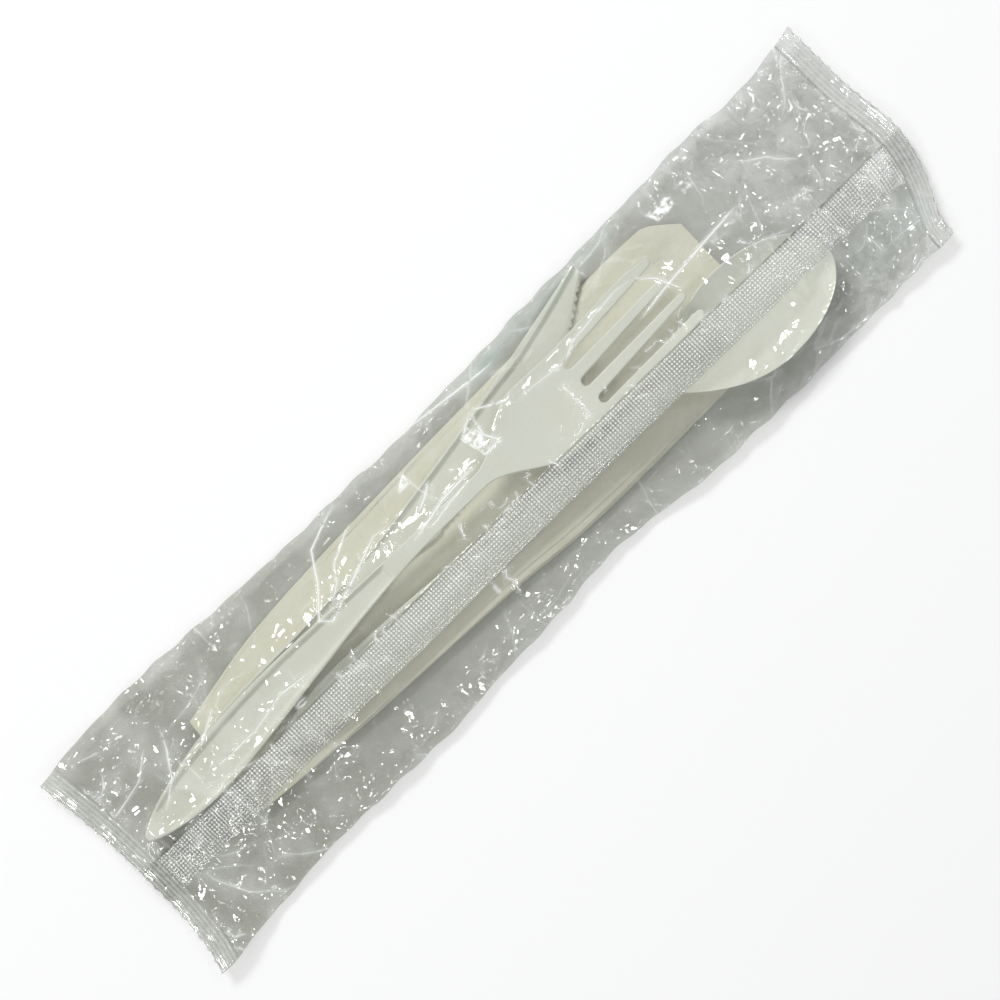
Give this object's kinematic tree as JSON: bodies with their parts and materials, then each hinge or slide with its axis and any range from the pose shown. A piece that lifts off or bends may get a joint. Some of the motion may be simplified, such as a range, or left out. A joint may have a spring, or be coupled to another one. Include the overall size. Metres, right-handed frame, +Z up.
{
  "type": "plastic cutlery pack",
  "caption": "Disposable fork, knife and spoon on a folded paper napkin, sealed in a clear flow-wrapped film sleeve with an embossed fin seal and crimped ends.",
  "frame": {"origin": "middle of the pack's underside, at the bottom centre of its box", "axes": "+X along the pack towards the spoon's bowl, +Y across it towards the knife's tip, +Z up out of the face with the fin seal"},
  "size_m": [0.2384, 0.0604, 0.0121],
  "materials": {
    "clear_film": "thin clear glossy film, creased and crumpled, embossed along its fin seal and crimps",
    "cutlery_plastic": "moulded off-white plastic, slightly translucent, satin gloss",
    "napkin_paper": "soft single-ply tissue paper, warm off-white, matte"
  },
  "bodies": {
    "root": {"film_wrapper": "clear_film", "napkin": "napkin_paper", "knife": "cutlery_plastic", "spoon": "cutlery_plastic", "fork": "cutlery_plastic"}
  },
  "joints": []
}
